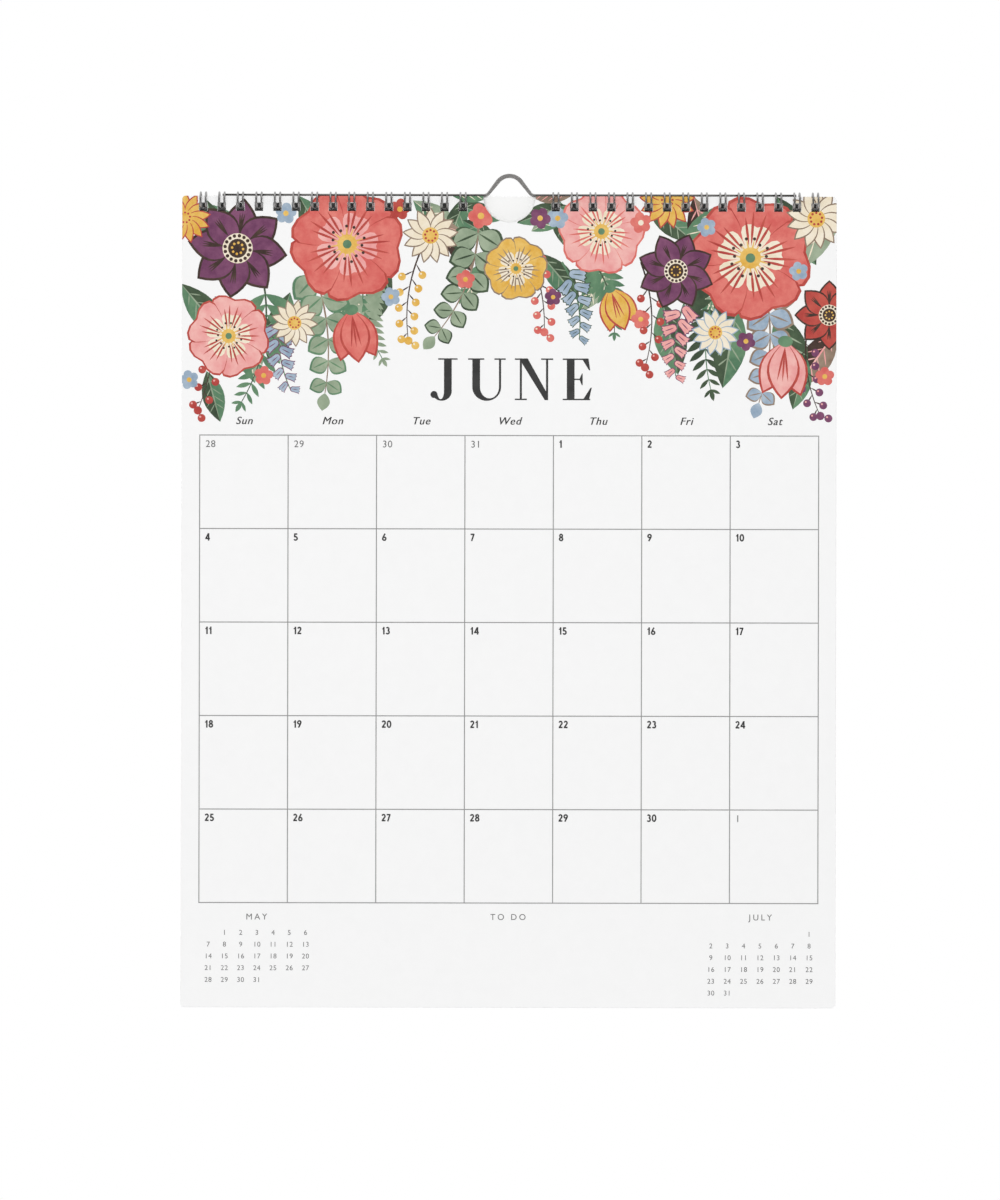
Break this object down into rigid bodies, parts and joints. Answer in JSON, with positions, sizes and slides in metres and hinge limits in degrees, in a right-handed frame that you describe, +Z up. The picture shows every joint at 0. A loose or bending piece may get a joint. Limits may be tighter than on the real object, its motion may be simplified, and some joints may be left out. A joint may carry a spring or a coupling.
{
  "type": "wall calendar",
  "caption": "Wire-bound wall calendar: punched month pages turn on twin-loop wire combs, and a bent hanger rod hooks on a nail.",
  "frame": {"origin": "underside of the hanger's crown, where the nail carries it", "axes": "+X along the binding to the viewer's right, +Y into the wall, +Z up"},
  "size_m": [0.2986, 0.008, 0.3799],
  "materials": {
    "printed_paper": "matt uncoated",
    "paper": "matt uncoated",
    "board": "matt white-lined",
    "binding_wire": "nickel plated",
    "hanger_steel": "nickel plated"
  },
  "bodies": {
    "hanger": {"hanger_rod": "hanger_steel"},
    "binding": {"wire_comb_left": "binding_wire", "wire_comb_right": "binding_wire", "back_board": "board", "turned_sheets": "paper"},
    "pages": {"month_pages": "printed_paper"}
  },
  "joints": [
    {"name": "binding_swing", "type": "hinge", "parent": "hanger", "child": "binding", "pos_m": [0, 0, -0.00805], "axis": [-1, 0, 0], "range_deg": [0, 180]},
    {"name": "page_turn", "type": "hinge", "parent": "binding", "child": "pages", "pos_m": [0, -0.00172, -0.0099], "axis": [-1, 0, 0], "range_deg": [0, 175]}
  ]
}
